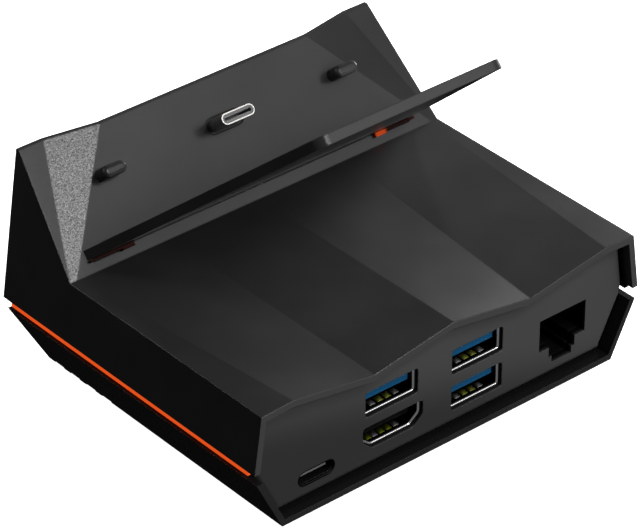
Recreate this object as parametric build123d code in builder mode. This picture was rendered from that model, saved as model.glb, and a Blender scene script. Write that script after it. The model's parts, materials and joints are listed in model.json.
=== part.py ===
"""Handheld console dock: two faceted shells, a plug seat with a back-rest, and a panel of ports at the rear.

Millimetres, +Z up. The ports face +Y, and the origin is on the table, under the middle of the body.
"left" is +X, the left side for someone who looks at the ports.
"""
import os
from math import atan2, cos, radians, sin, tan

from build123d import *

os.makedirs("parts", exist_ok=True)

# Body
body_width = 100.0
body_depth = 79.4
foot_proud = 1.0
lower_height = 12.4
groove_height = 2.6
deck_rise = 12.85
ridge_rise = 20.35
side_lean = 8.1
front_draft = 0.25

# Folds of the deck, from its rear edge to the seat line; each inset is from the body's side
crest_rise = 0.35
valley_fall = 2.9
rear_crest_inset = 9.6
rear_valley_inset = 29.8
seat_crest_inset = 4.0
seat_valley_inset = 26.9

# Folds of the seat, from the seat line up to the ridge
seat_run = 20.6
ridge_lip = 0.9
ridge_setback = 2.4
ridge_flat_inset = 23.2
ridge_knee_inset = 10.8
seat_flat_inset = 3.4

# Walls of the shells
side_wall = 2.0
deck_wall = 2.1
seat_wall = 2.0
floor_wall = 1.8
core_drop = 5.0
panel_rim = 1.4
deck_lip = 1.5
fit_gap = 0.12

# Lower shell
lower_foot_inset = 6.7
lower_top_inset = 0.6
lower_foot_front = 5.45
lower_top_front = 0.5
tongue_inset = 1.8
tongue_wall = 1.7
tongue_rise = 1.2
tongue_root = 3.4
notch_count = 4
notch_length = 3.2
notch_pitch = 5.2
notch_height = 0.5
notch_depth = 1.8
notch_front_inset = 16.8

# Side strips
strip_height = 1.2
strip_inset = 0.3
strip_front_end = 2.3
strip_rear_end = 2.4
strip_gap = 0.05
strip_tab_length = 6.0
strip_tab_depth = 1.0
strip_tab_pitch = 25.0
strip_tab_count = 3

# Feet
foot_diameter = 9.0
foot_recess = 0.8
foot_side_inset = 14.5
foot_front_inset = 12.7
foot_rear_inset = 7.7
foot_chamfer = 0.3

# Case screws and their bosses
case_front_x = 24.0
case_front_inset = 11.2
case_side_inset = 13.5
case_rear_inset = 31.7
case_screw_diameter = 2.4
case_screw_length = 10.0
case_head_diameter = 4.4
case_head_height = 1.6
case_head_depth = 3.0
case_boss_diameter = 7.5
case_boss_height = 6.0
column_diameter = 6.0
drive_diameter = 2.0
drive_depth = 0.7
drive_sides = 6

# Rear panel
panel_recess = 2.7
panel_thick = 1.6
panel_round = 1.3
port_setback = 1.1
cutout_gap = 0.2

# Main board
board_standoff = 0.8
board_thick = 1.2
board_side_inset = 8.2
board_depth = 41.1
board_gap = 0.3
standoff_diameter = 5.0
board_screw_diameter = 2.0
board_screw_length = 2.6
board_head_diameter = 3.6
board_head_height = 1.2
board_screw_middle_x = 2.2
board_screw_right_x = -20.0
board_screw_rear_inset = 6.1
board_screw_front_x = 30.0
board_screw_front_inset = 5.0
chip_thick = 1.0
chip_chamfer = 0.15
hub_chip_size = 9.0
hub_chip_x = 2.0
hub_chip_inset = 23.1
video_chip_size = 8.0
video_chip_x = 19.0
video_chip_inset = 26.1
network_chip_size = 7.0
network_chip_x = -8.0
network_chip_gap = 1.0
transformer_length = 14.0
transformer_width = 7.0
transformer_height = 5.0
transformer_x = -19.0
transformer_inset = 25.1

# USB-A sockets
usb_width = 13.2
usb_height = 5.65
usb_wall = 0.35
usb_round = 0.4
usb_depth = 14.0
usb_left_x = 13.4
usb_right_x = -8.9
usb_upper_z = 17.1
usb_lower_z = 8.5
usb_tongue_inset = 0.9
usb_tongue_thick = 1.3
usb_tongue_drop = 1.45
usb_tongue_setback = 0.9
usb_tongue_root = 2.5
usb_contact_width = 1.0
usb_contact_thick = 0.2
usb_contact_length = 7.0
usb_contact_pitch = 2.25
usb_contact_count = 4
usb_spring_width = 1.8
usb_spring_start = 1.6
usb_spring_length = 6.5
usb_spring_height = 0.55
usb_spring_x = 3.0

# Blocks that carry the USB-A sockets on the board
block_overhang = 0.3
block_depth = 4.0
block_gap = 0.05

# HDMI socket
hdmi_x = 13.0
hdmi_z = 9.1
hdmi_width = 15.2
hdmi_height = 5.2
hdmi_foot_inset = 2.4
hdmi_shoulder = 2.0
hdmi_wall = 0.35
hdmi_depth = 11.5
hdmi_tongue_inset = 1.8
hdmi_tongue_thick = 1.2
hdmi_tongue_setback = 1.2
hdmi_tongue_root = 2.0
hdmi_contact_count = 10
hdmi_contact_pitch = 1.0
hdmi_contact_width = 0.45
hdmi_contact_thick = 0.12
hdmi_contact_length = 5.0

# USB-C socket
usb_c_x = 32.5
usb_c_z = 7.2
usb_c_mouth_width = 9.0
usb_c_mouth_height = 2.8
usb_c_width = 8.94
usb_c_height = 3.2
usb_c_wall = 0.22
usb_c_depth = 8.0
usb_c_leg_length = 1.6
usb_c_tongue_inset = 1.12
usb_c_tongue_thick = 0.7
usb_c_tongue_setback = 0.85
usb_c_tongue_root = 1.5
usb_c_skin = 0.4

# Network socket
jack_x = -31.9
jack_cheek = 1.5
jack_depth = 19.0
jack_roof = 1.2
jack_mouth_width = 11.8
jack_mouth_low_z = 9.4
jack_mouth_high_z = 16.2
jack_step_width = 6.4
jack_step_z = 7.05
jack_latch_width = 4.7
jack_latch_z = 5.6
jack_mouth_depth = 14.0
jack_cutout_gap = 0.35
jack_contact_count = 8
jack_contact_pitch = 1.02
jack_contact_width = 0.45
jack_contact_thick = 0.35
jack_contact_front = 2.5
jack_contact_length = 8.5
jack_contact_drop = 2.0
jack_contact_gap = 0.05

# Plug on the seat, measured down the slope from the ridge, and what is placed by the plug
plug_from_ridge = 9.46
plug_width = 8.25
plug_thick = 2.4
plug_wall = 0.25
plug_reach = 5.8
plug_slot_inset = 0.725
plug_slot_thick = 0.85
plug_slot_depth = 4.8
plug_root = 3.6
plug_gap = 0.03
plug_contact_count = 12
plug_contact_pitch = 0.5
plug_contact_width = 0.26
plug_contact_thick = 0.12
plug_contact_length = 3.8
plug_contact_sink = 0.35
plug_core_sink = 0.15
carrier_side = 2.375
carrier_above = 1.4
carrier_thick = 2.0
carrier_nose = 0.45
carrier_sink = 0.25
plug_board_width = 31.0
plug_board_below = 11.75
plug_board_above = 2.75
plug_board_thick = 0.8
plug_screw_x = 11.5
plug_screw_below = 8.25
plug_boss_diameter = 5.0
plug_screw_diameter = 1.6
plug_screw_length = 2.6
plug_head_diameter = 3.0
plug_head_height = 0.9

# Locating pins beside the plug
pin_side_inset = 19.9
pin_below = 0.15
pin_width = 5.75
pin_thick = 2.6
pin_reach = 4.0
pin_round = 0.9

# Link cable between the boards
socket_width = 14.0
socket_length = 3.5
socket_height = 1.2
socket_below = 8.65
socket_inset = 1.0
cable_width = 11.0
cable_thick = 0.3
cable_bend = 3.0
cable_slope_run = 11.0
cable_level_run = 9.0

# Back-rest and its clips
rest_up = 3.8
rest_thick = 2.1
rest_reach = 63.6
rest_root_inset = 7.5
rest_free_inset = 27.2
rest_corner = 3.0
rest_tab_inset = 12.0
rest_tab_depth = 3.4
clip_inner_inset = 18.5
clip_outer_inset = 7.6
clip_thick = 0.5
clip_reach = 1.0
clip_round = 0.3
clip_head_width = 3.2
clip_head_thick = 0.9
clip_stem_inset = 1.2
clip_stem_depth = 3.0

# Levels and planes worked out from the sizes above
base_z = foot_proud
split_low_z = base_z + lower_height
split_high_z = split_low_z + groove_height
deck_z = split_high_z + deck_rise
ridge_z = deck_z + ridge_rise
half_width = body_width / 2
rear_y = body_depth / 2
front_y = -body_depth / 2
seat_y = front_y + seat_run
front_top_y = front_y + front_draft
ridge_y = front_y + ridge_setback
seat_angle = atan2(ridge_rise, seat_y - ridge_y - ridge_lip)
seat_slope = ridge_rise / sin(seat_angle)
rear_crest_x = half_width - rear_crest_inset
rear_valley_x = half_width - rear_valley_inset
seat_crest_x = half_width - seat_crest_inset
seat_valley_x = half_width - seat_valley_inset
ridge_flat_x = half_width - ridge_flat_inset
ridge_knee_x = half_width - ridge_knee_inset
seat_flat_x = half_width - seat_flat_inset
lower_foot_x = half_width - lower_foot_inset
lower_top_x = half_width - lower_top_inset
foot_x = half_width - foot_side_inset
foot_front_y = front_y + foot_front_inset
foot_rear_y = rear_y - foot_rear_inset
case_rear_x = half_width - case_side_inset
case_rear_y = rear_y - case_rear_inset
case_front_y = front_y + case_front_inset
panel_face_y = rear_y - panel_recess
panel_back_y = panel_face_y - panel_thick
port_face_y = panel_face_y - port_setback
usb_c_front_y = panel_face_y - usb_c_skin - block_gap
floor_z = base_z + floor_wall
board_low_z = floor_z + board_standoff
board_top_z = board_low_z + board_thick
board_half_x = half_width - board_side_inset
board_rear_y = panel_back_y - board_gap
board_front_y = board_rear_y - board_depth
board_screw_places = [
    (board_screw_middle_x, board_rear_y - board_screw_rear_inset),
    (board_screw_right_x, board_rear_y - board_screw_rear_inset),
    (board_screw_front_x, board_front_y + board_screw_front_inset),
    (-board_screw_front_x, board_front_y + board_screw_front_inset),
]
usb_tongue_width = usb_width - 2 * usb_tongue_inset
block_width = usb_width + 2 * block_overhang
hdmi_foot_width = hdmi_width - 2 * hdmi_foot_inset
hdmi_tongue_width = hdmi_width - 2 * hdmi_tongue_inset
usb_c_tongue_width = usb_c_width - 2 * usb_c_tongue_inset
jack_width = jack_mouth_width + 2 * jack_cheek
plug_up = seat_slope - plug_from_ridge
plug_slot_width = plug_width - 2 * plug_slot_inset
plug_board_low = plug_up - plug_board_below
plug_board_high = plug_up + plug_board_above
plug_screw_up = plug_up - plug_screw_below
carrier_width = plug_width + 2 * carrier_side
carrier_height = plug_thick + 2 * carrier_above
pin_x = half_width - pin_side_inset
pin_up = plug_up - pin_below
socket_up = plug_up - socket_below
socket_board_y = board_front_y + socket_inset
hub_chip_y = board_rear_y - hub_chip_inset
video_chip_y = board_rear_y - video_chip_inset
network_chip_y = socket_board_y + socket_length + network_chip_gap + network_chip_size / 2
transformer_y = board_rear_y - transformer_inset
rest_root_x = half_width - rest_root_inset
rest_free_x = half_width - rest_free_inset
rest_tab_x = half_width - rest_tab_inset
clip_inner_x = half_width - clip_inner_inset
clip_outer_x = half_width - clip_outer_inset
case_places = [
    (case_front_x, case_front_y),
    (-case_front_x, case_front_y),
    (case_rear_x, case_rear_y),
    (-case_rear_x, case_rear_y),
]
case_seat_z = base_z + case_head_depth
clip_x = (clip_inner_x + clip_outer_x) / 2
clip_drop = -(rest_thick + clip_thick) / 2 - fit_gap
clip_stem_width = clip_outer_x - clip_inner_x - 2 * clip_stem_inset
clip_head_x = clip_inner_x + clip_head_width / 2
clip_head_drop = clip_drop + clip_thick / 2
tongue_x = lower_top_x - tongue_inset
tongue_front = front_y + lower_top_front + tongue_inset
strip_high_z = split_high_z - strip_gap
strip_low_z = strip_high_z - strip_height
strip_out_x = half_width - strip_inset
strip_in_x = tongue_x + fit_gap
strip_tip_x = half_width - panel_rim + fit_gap
shelf_front_y = panel_back_y - block_gap
usb_back_y = port_face_y - usb_depth
foot_places = {
    "foot_front_left": (foot_x, foot_front_y),
    "foot_front_right": (-foot_x, foot_front_y),
    "foot_rear_left": (foot_x, foot_rear_y),
    "foot_rear_right": (-foot_x, foot_rear_y),
}
usb_places = [
    ("upper_left", usb_left_x, usb_upper_z),
    ("upper_right", usb_right_x, usb_upper_z),
    ("lower_right", usb_right_x, usb_lower_z),
]
column_low_z = base_z + case_boss_height + fit_gap
cut_past = 2.0


def side_x(z):
    """Half width of the upper shell's outside at height z."""
    return half_width - (z - split_high_z) * tan(radians(side_lean))


def lower_share(z):
    """How far z is up the lower shell, from 0 at its foot to 1 at its top edge."""
    return (z - base_z) / lower_height


def lower_x(z):
    """Half width of the lower shell's outside at height z."""
    return lower_foot_x + (lower_top_x - lower_foot_x) * lower_share(z)


def lower_front(z):
    """Front of the lower shell's outside at height z."""
    return front_y + lower_foot_front + (lower_top_front - lower_foot_front) * lower_share(z)


def mirrored(half):
    """Close an outline whose half at +X is given from its top to its foot."""
    return half + [(-x, y) for x, y in reversed(half) if x > 0]


def outline_face(plane, points):
    """Flat face with straight sides on a plane."""
    with BuildSketch(plane) as face:
        with BuildLine():
            Polyline(*points, close=True)
        make_face()
    return face.sketch


def rectangle_points(half_x, low_y, high_y):
    """Corners of a rectangle that is centred on X."""
    return [(half_x, low_y), (half_x, high_y), (-half_x, high_y), (-half_x, low_y)]


def across(y):
    """Plane across the dock at y, seen with +X and +Z in its own axes."""
    return Plane.XZ.offset(-y)


def level(z):
    """Level plane at height z."""
    return Plane.XY.offset(z)


def on_seat(up, out):
    """Plane parallel to the seat, up its slope from the seat line and out from its face."""
    y = seat_y - up * cos(seat_angle) + out * sin(seat_angle)
    z = deck_z + up * sin(seat_angle) + out * cos(seat_angle)
    return Plane(origin=(0, y, z), x_dir=(-1, 0, 0), z_dir=(0, sin(seat_angle), cos(seat_angle)))


def square_to_seat(up):
    """Plane that stands square on the seat: its y axis points out from the seat's face."""
    seat = on_seat(up, 0)
    return Plane(origin=seat.origin, x_dir=(1, 0, 0), z_dir=seat.y_dir)


def deck_strips(rear, wall, drop):
    """Pairs of faces, at the rear and at the seat line, for each strip of the deck between two folds.

    A wall and a drop set the strips in from the outside, for the hollow.
    """
    low_z = split_high_z - (cut_past if wall else 0)
    edge_x = side_x(deck_z) - wall
    rear_line = [
        (0, deck_z + crest_rise),
        (rear_valley_x, deck_z - valley_fall),
        (rear_crest_x - wall, deck_z + crest_rise),
        (edge_x, deck_z),
    ]
    seat_line = [(0, deck_z), (seat_valley_x, deck_z), (seat_crest_x - wall, deck_z), (edge_x, deck_z)]
    pairs = []
    for side in (1, -1):
        for step in range(len(rear_line) - 1):
            strip = []
            for y, line in ((rear, rear_line), (seat_y, seat_line)):
                inner, outer = line[step], line[step + 1]
                foot_x = outer[0] if outer[0] < edge_x else side_x(low_z) - wall
                corners = [
                    (side * inner[0], low_z),
                    (side * inner[0], inner[1] - drop),
                    (side * outer[0], outer[1] - drop),
                    (side * foot_x, low_z),
                ]
                strip.append(outline_face(across(y), corners))
            pairs.append(strip)
    return pairs


def facet_plane(side):
    """Plane of the seat's falling facet at one side, with its normal upward."""
    foot = Vector(side * seat_flat_x, seat_y, deck_z)
    flat = Vector(side * ridge_flat_x, ridge_y + ridge_lip, ridge_z)
    knee = Vector(side * ridge_knee_x, front_top_y + ridge_lip, ridge_z)
    normal = (flat - foot).cross(knee - foot)
    return Plane(origin=foot, z_dir=normal * (1 if normal.Z > 0 else -1))


def block_face(z, wall):
    """Plan of the plain block under the seat at height z, inset by a wall."""
    draft = front_draft * (z - split_high_z) / (ridge_z - split_high_z)
    rear = seat_y + (cut_past if wall else 0)
    return outline_face(level(z), rectangle_points(side_x(z) - wall, front_y + draft + wall, rear))


# Middle of the seat: a plain block cut by the flat facet and the two falling ones
with BuildPart() as seat_middle:
    loft(sections=[block_face(split_high_z, 0), block_face(ridge_z, 0)], ruled=True)
    split(bisect_by=on_seat(0, 0), keep=Keep.BOTTOM)
    split(bisect_by=facet_plane(1), keep=Keep.BOTTOM)
    split(bisect_by=facet_plane(-1), keep=Keep.BOTTOM)

# Horns at the ends of the ridge, outside the knees where the seat folds up again
corner_x = side_x(deck_z)
facet_normal = facet_plane(1).z_dir
corner_z = deck_z - facet_normal.X * (corner_x - seat_flat_x) / facet_normal.Z
horn_run = Vector(0, front_top_y + ridge_lip - seat_y, ridge_z - corner_z)
horn_plane = Plane(origin=(0, seat_y, corner_z), x_dir=(-1, 0, 0), z_dir=Vector(-1, 0, 0).cross(horn_run))
knee_y = front_top_y + ridge_lip
knee_past_x = ridge_knee_x - (corner_x - ridge_knee_x) * cut_past / (seat_y - knee_y)
with BuildPart() as seat_horns:
    loft(sections=[block_face(split_high_z, 0), block_face(ridge_z, 0)], ruled=True)
    split(bisect_by=horn_plane, keep=Keep.BOTTOM)
    with BuildSketch(level(split_high_z)):
        with BuildLine():
            Polyline(
                (corner_x, seat_y),
                (-corner_x, seat_y),
                (-knee_past_x, knee_y - cut_past),
                (knee_past_x, knee_y - cut_past),
                close=True,
            )
        make_face()
    extrude(amount=deck_rise + ridge_rise, mode=Mode.SUBTRACT)

# Outside of the upper shell, with the front cut back behind the flat of the ridge
with BuildPart() as outer_form:
    for strip in deck_strips(rear_y, 0, 0):
        loft(sections=strip, ruled=True)
    add(seat_middle.part)
    add(seat_horns.part)
    with BuildSketch(level(ridge_z)) as front_cut:
        with BuildLine():
            Polyline(
                (ridge_knee_x, front_top_y),
                (ridge_flat_x, ridge_y),
                (-ridge_flat_x, ridge_y),
                (-ridge_knee_x, front_top_y),
                (-ridge_knee_x, front_top_y - cut_past),
                (ridge_knee_x, front_top_y - cut_past),
                close=True,
            )
        make_face()
    front_fall = Vector(0, front_y - ridge_y, split_high_z - ridge_z)
    extrude(amount=front_fall.length, dir=front_fall, mode=Mode.SUBTRACT)

# Hollow inside the upper shell, from the same folds
with BuildPart() as seat_hollow:
    hollow_low_z = split_high_z - cut_past
    hollow_high_z = ridge_z - core_drop
    loft(sections=[block_face(hollow_low_z, side_wall), block_face(hollow_high_z, side_wall)], ruled=True)
    split(bisect_by=on_seat(0, -seat_wall), keep=Keep.BOTTOM)
    split(bisect_by=facet_plane(1).offset(-seat_wall), keep=Keep.BOTTOM)
    split(bisect_by=facet_plane(-1).offset(-seat_wall), keep=Keep.BOTTOM)
    front_inside = Plane(
        origin=(0, front_y + side_wall, split_high_z),
        x_dir=(1, 0, 0),
        z_dir=Vector(1, 0, 0).cross(front_fall),
    )
    split(bisect_by=front_inside, keep=Keep.TOP)
with BuildPart() as inner_form:
    for strip in deck_strips(rear_y + cut_past, side_wall, deck_wall):
        loft(sections=strip, ruled=True)
    add(seat_hollow.part)

# Screw columns that hang from the inside of the upper shell, trimmed by its outside
with BuildPart() as screw_columns:
    with BuildSketch(level(split_high_z)):
        with Locations(*case_places):
            Circle(column_diameter / 2)
    extrude(amount=ridge_rise + deck_rise)
    add(outer_form.part, mode=Mode.INTERSECT)
    with BuildSketch(level(column_low_z)):
        with Locations(*case_places):
            Circle(column_diameter / 2)
    extrude(amount=split_high_z - column_low_z)

# Locating pins with rounded tips
with BuildPart() as locating_pins:
    with BuildSketch(on_seat(pin_up, -seat_wall / 2)):
        with Locations((pin_x, 0), (-pin_x, 0)):
            SlotOverall(pin_width, pin_thick)
    extrude(amount=pin_reach + seat_wall / 2)
    pin_tips = faces().filter_by(on_seat(0, 0)).group_by(Axis.Z)[-1]
    fillet(pin_tips.edges(), radius=pin_round)

# Outline of the port panel, which both shells hold by its edge
panel_outline = mirrored(
    [
        (0, deck_z + crest_rise - deck_lip),
        (rear_valley_x, deck_z - valley_fall - deck_lip),
        (rear_crest_x, deck_z + crest_rise - deck_lip),
        (side_x(deck_z - deck_lip) - panel_rim, deck_z - deck_lip),
        (side_x(split_high_z) - panel_rim, split_high_z),
        (lower_x(split_low_z) - panel_rim, split_low_z),
        (lower_x(base_z + panel_rim) - panel_rim, base_z + panel_rim),
    ]
)

# Upper shell
with BuildPart() as upper_shell:
    add(outer_form.part)
    add(inner_form.part, mode=Mode.SUBTRACT)
    add(screw_columns.part)
    add(locating_pins.part)
    # Pocket that takes the rear panel, with a shoulder behind it
    extrude(
        outline_face(across(panel_back_y), panel_outline),
        amount=-(panel_recess + panel_thick + cut_past),
        mode=Mode.SUBTRACT,
    )
    # Pilot holes up the screw columns
    with BuildSketch(level(column_low_z)):
        with Locations(*case_places):
            Circle(case_screw_diameter / 2 + fit_gap)
    extrude(amount=case_screw_length - case_boss_height + case_head_depth + fit_gap, mode=Mode.SUBTRACT)
    # Bosses behind the seat for the plug's board
    with BuildSketch(on_seat(plug_screw_up, -seat_wall - carrier_thick)):
        with Locations((plug_screw_x, 0), (-plug_screw_x, 0)):
            Circle(plug_boss_diameter / 2)
    extrude(amount=carrier_thick + seat_wall / 2)
    with BuildSketch(on_seat(plug_screw_up, -seat_wall - carrier_thick)):
        with Locations((plug_screw_x, 0), (-plug_screw_x, 0)):
            Circle(plug_screw_diameter / 2 + fit_gap)
    extrude(amount=plug_screw_length, mode=Mode.SUBTRACT)
    # Mouth for the plug
    with BuildSketch(on_seat(plug_up, -seat_wall - cut_past)):
        SlotOverall(
            plug_width + 2 * (carrier_nose + fit_gap), plug_thick + 2 * (carrier_nose + fit_gap)
        )
    extrude(amount=seat_wall + 2 * cut_past, mode=Mode.SUBTRACT)
    # Slots for the back-rest's tab and for its two clips
    with BuildSketch(on_seat(rest_up, -seat_wall - 2 * cut_past)):
        Rectangle(2 * (rest_tab_x + fit_gap), rest_thick + 2 * fit_gap)
        with Locations((clip_x, clip_drop), (-clip_x, clip_drop)):
            Rectangle(clip_stem_width + 2 * fit_gap, clip_thick + 2 * fit_gap)
    extrude(amount=seat_wall + 3 * cut_past, mode=Mode.SUBTRACT)
upper_shell.part.label = "upper_shell"
export_step(upper_shell.part, "parts/upper_shell.step")


def lower_face(z, wall):
    """Plan of the lower shell at height z, inset by a wall and open at the rear when inset."""
    rear = rear_y + (cut_past if wall else 0)
    return outline_face(level(z), rectangle_points(lower_x(z) - wall, lower_front(z) + wall, rear))


# Lower shell
with BuildPart() as lower_shell:
    loft(sections=[lower_face(base_z, 0), lower_face(split_low_z, 0)], ruled=True)
    loft(
        sections=[lower_face(floor_z, side_wall), lower_face(split_low_z + cut_past, side_wall)],
        ruled=True,
        mode=Mode.SUBTRACT,
    )
    # Tongue that stands inside the upper shell and closes the groove
    with BuildSketch(level(split_low_z - tongue_root)):
        with Locations((0, tongue_front)):
            Rectangle(2 * tongue_x, panel_back_y - tongue_front, align=(Align.CENTER, Align.MIN))
        with Locations((0, tongue_front + tongue_wall)):
            Rectangle(
                2 * (tongue_x - tongue_wall),
                body_depth,
                align=(Align.CENTER, Align.MIN),
                mode=Mode.SUBTRACT,
            )
    extrude(amount=tongue_root + groove_height + tongue_rise)
    # Pocket that takes the rear panel
    extrude(
        outline_face(across(panel_back_y), panel_outline),
        amount=-(panel_recess + panel_thick + cut_past),
        mode=Mode.SUBTRACT,
    )
    # Pockets for the tabs of the side strips
    with BuildSketch(level(strip_low_z - fit_gap)):
        with GridLocations(2 * tongue_x, strip_tab_pitch, 2, strip_tab_count):
            Rectangle(2 * (strip_tab_depth + fit_gap), strip_tab_length + 2 * fit_gap)
    extrude(amount=strip_height + 2 * fit_gap, mode=Mode.SUBTRACT)
    # Bosses for the case screws and standoffs for the board
    with BuildSketch(level(base_z)):
        with Locations(*case_places):
            Circle(case_boss_diameter / 2)
    extrude(amount=case_boss_height)
    with BuildSketch(level(base_z)):
        with Locations(*board_screw_places):
            Circle(standoff_diameter / 2)
    extrude(amount=board_low_z - base_z)
    with Locations(*[Plane(origin=(x, y, base_z), z_dir=(0, 0, -1)) for x, y in case_places]):
        CounterBoreHole(
            radius=case_screw_diameter / 2 + fit_gap,
            counter_bore_radius=case_head_diameter / 2 + 2 * fit_gap,
            counter_bore_depth=case_head_depth,
            depth=case_boss_height,
        )
    with Locations(*[(x, y, board_low_z) for x, y in board_screw_places]):
        Hole(radius=board_screw_diameter / 2 + fit_gap, depth=board_screw_length - board_thick + fit_gap)
    # Recesses for the feet, and the row of notches along each lower edge
    with BuildSketch(level(base_z)):
        with Locations(*foot_places.values()):
            Circle(foot_diameter / 2 + fit_gap)
    extrude(amount=foot_recess, mode=Mode.SUBTRACT)
    with BuildSketch(level(base_z)):
        with Locations((0, front_y + notch_front_inset)):
            with GridLocations(2 * lower_foot_x, notch_pitch, 2, notch_count):
                Rectangle(2 * notch_depth, notch_length)
    extrude(amount=notch_height, mode=Mode.SUBTRACT)
lower_shell.part.label = "lower_shell"
export_step(lower_shell.part, "parts/lower_shell.step")

# Rubber feet
for foot_name, foot_place in foot_places.items():
    with BuildPart() as foot:
        with BuildSketch():
            with Locations(foot_place):
                Circle(foot_diameter / 2)
        extrude(amount=foot_proud + foot_recess)
        chamfer(faces().sort_by(Axis.Z)[0].edges(), length=foot_chamfer)
    foot.part.label = foot_name
    export_step(foot.part, f"parts/{foot_name}.step")

# Side strips in the groove between the shells
for strip_name, side in (("side_strip_left", 1), ("side_strip_right", -1)):
    with BuildPart() as side_strip:
        with BuildSketch(level(strip_low_z)):
            with BuildLine():
                Polyline(
                    (side * strip_out_x, front_y + strip_front_end),
                    (side * strip_out_x, rear_y - strip_rear_end),
                    (side * strip_tip_x, rear_y - strip_rear_end),
                    (side * strip_tip_x, panel_back_y - fit_gap),
                    (side * strip_in_x, panel_back_y - fit_gap),
                    (side * strip_in_x, front_y + strip_front_end),
                    close=True,
                )
            make_face()
            with Locations((side * strip_in_x, 0)):
                with GridLocations(0, strip_tab_pitch, 1, strip_tab_count):
                    Rectangle(2 * strip_tab_depth, strip_tab_length)
        extrude(amount=strip_height)
    side_strip.part.label = strip_name
    export_step(side_strip.part, f"parts/{strip_name}.step")


def hdmi_face(y, change):
    """Outline of the HDMI shell at y, grown or shrunk by a change."""
    half = [
        (hdmi_width / 2, hdmi_height / 2),
        (hdmi_width / 2, hdmi_shoulder - hdmi_height / 2),
        (hdmi_foot_width / 2, -hdmi_height / 2),
    ]
    with BuildSketch(across(y)) as face:
        with BuildLine():
            Polyline(*[(hdmi_x + x, hdmi_z + z) for x, z in mirrored(half)], close=True)
        make_face()
        if change:
            offset(amount=change, kind=Kind.INTERSECTION, mode=Mode.REPLACE)
    return face.sketch


def jack_face(y, change):
    """Stepped mouth of the network socket at y, grown by a change."""
    half = [
        (jack_mouth_width / 2, jack_mouth_high_z),
        (jack_mouth_width / 2, jack_mouth_low_z),
        (jack_step_width / 2, jack_mouth_low_z),
        (jack_step_width / 2, jack_step_z),
        (jack_latch_width / 2, jack_step_z),
        (jack_latch_width / 2, jack_latch_z),
    ]
    with BuildSketch(across(y)) as face:
        with BuildLine():
            Polyline(*[(jack_x + x, z) for x, z in mirrored(half)], close=True)
        make_face()
        if change:
            offset(amount=change, kind=Kind.INTERSECTION, mode=Mode.REPLACE)
    return face.sketch


# Rear panel with a cut-out for each socket and a pocket behind the oblong one
with BuildPart() as rear_panel:
    with BuildSketch(across(panel_back_y)):
        with BuildLine():
            Polyline(*panel_outline, close=True)
        make_face()
        offset(amount=-fit_gap, kind=Kind.INTERSECTION, mode=Mode.REPLACE)
        with Locations(*[(x, z) for name, x, z in usb_places]):
            Rectangle(usb_width + 2 * cutout_gap, usb_height + 2 * cutout_gap, mode=Mode.SUBTRACT)
        with Locations((usb_c_x, usb_c_z)):
            SlotOverall(usb_c_mouth_width, usb_c_mouth_height, mode=Mode.SUBTRACT)
    extrude(amount=-panel_thick)
    with BuildSketch(across(panel_back_y)):
        with Locations((usb_c_x, usb_c_z)):
            SlotOverall(usb_c_width + 2 * cutout_gap, usb_c_height + 2 * cutout_gap)
    extrude(amount=usb_c_skin - panel_thick, mode=Mode.SUBTRACT)
    extrude(hdmi_face(panel_back_y, cutout_gap), amount=-panel_thick, mode=Mode.SUBTRACT)
    extrude(jack_face(panel_back_y, jack_cutout_gap), amount=-panel_thick, mode=Mode.SUBTRACT)
    fillet(faces().sort_by(Axis.Y)[-1].outer_wire().edges(), radius=panel_round)
rear_panel.part.label = "rear_panel"
export_step(rear_panel.part, "parts/rear_panel.step")

# Main board
with BuildPart() as main_board:
    with BuildSketch(level(board_low_z)):
        with Locations((0, board_front_y)):
            Rectangle(
                2 * board_half_x,
                board_depth,
                align=(Align.CENTER, Align.MIN),
            )
        with Locations((case_rear_x, case_rear_y), (-case_rear_x, case_rear_y)):
            Circle(case_boss_diameter / 2 + board_gap, mode=Mode.SUBTRACT)
        with Locations(*board_screw_places):
            Circle(board_screw_diameter / 2 + fit_gap, mode=Mode.SUBTRACT)
    extrude(amount=board_thick)
main_board.part.label = "main_board"
export_step(main_board.part, "parts/main_board.step")

# Chips and the network transformer on the board
board_blocks = [
    ("hub_chip", hub_chip_x, hub_chip_y, hub_chip_size, hub_chip_size, chip_thick),
    ("video_chip", video_chip_x, video_chip_y, video_chip_size, video_chip_size, chip_thick),
    ("network_chip", network_chip_x, network_chip_y, network_chip_size, network_chip_size, chip_thick),
    (
        "network_transformer",
        transformer_x,
        transformer_y,
        transformer_length,
        transformer_width,
        transformer_height,
    ),
]
for block_name, block_x, block_y, block_length, block_breadth, block_high in board_blocks:
    with BuildPart() as board_block:
        with BuildSketch(level(board_top_z)):
            with Locations((block_x, block_y)):
                Rectangle(block_length, block_breadth)
        extrude(amount=block_high)
        chamfer(faces().sort_by(Axis.Z)[-1].edges(), length=chip_chamfer)
    board_block.part.label = block_name
    export_step(board_block.part, f"parts/{block_name}.step")

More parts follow.
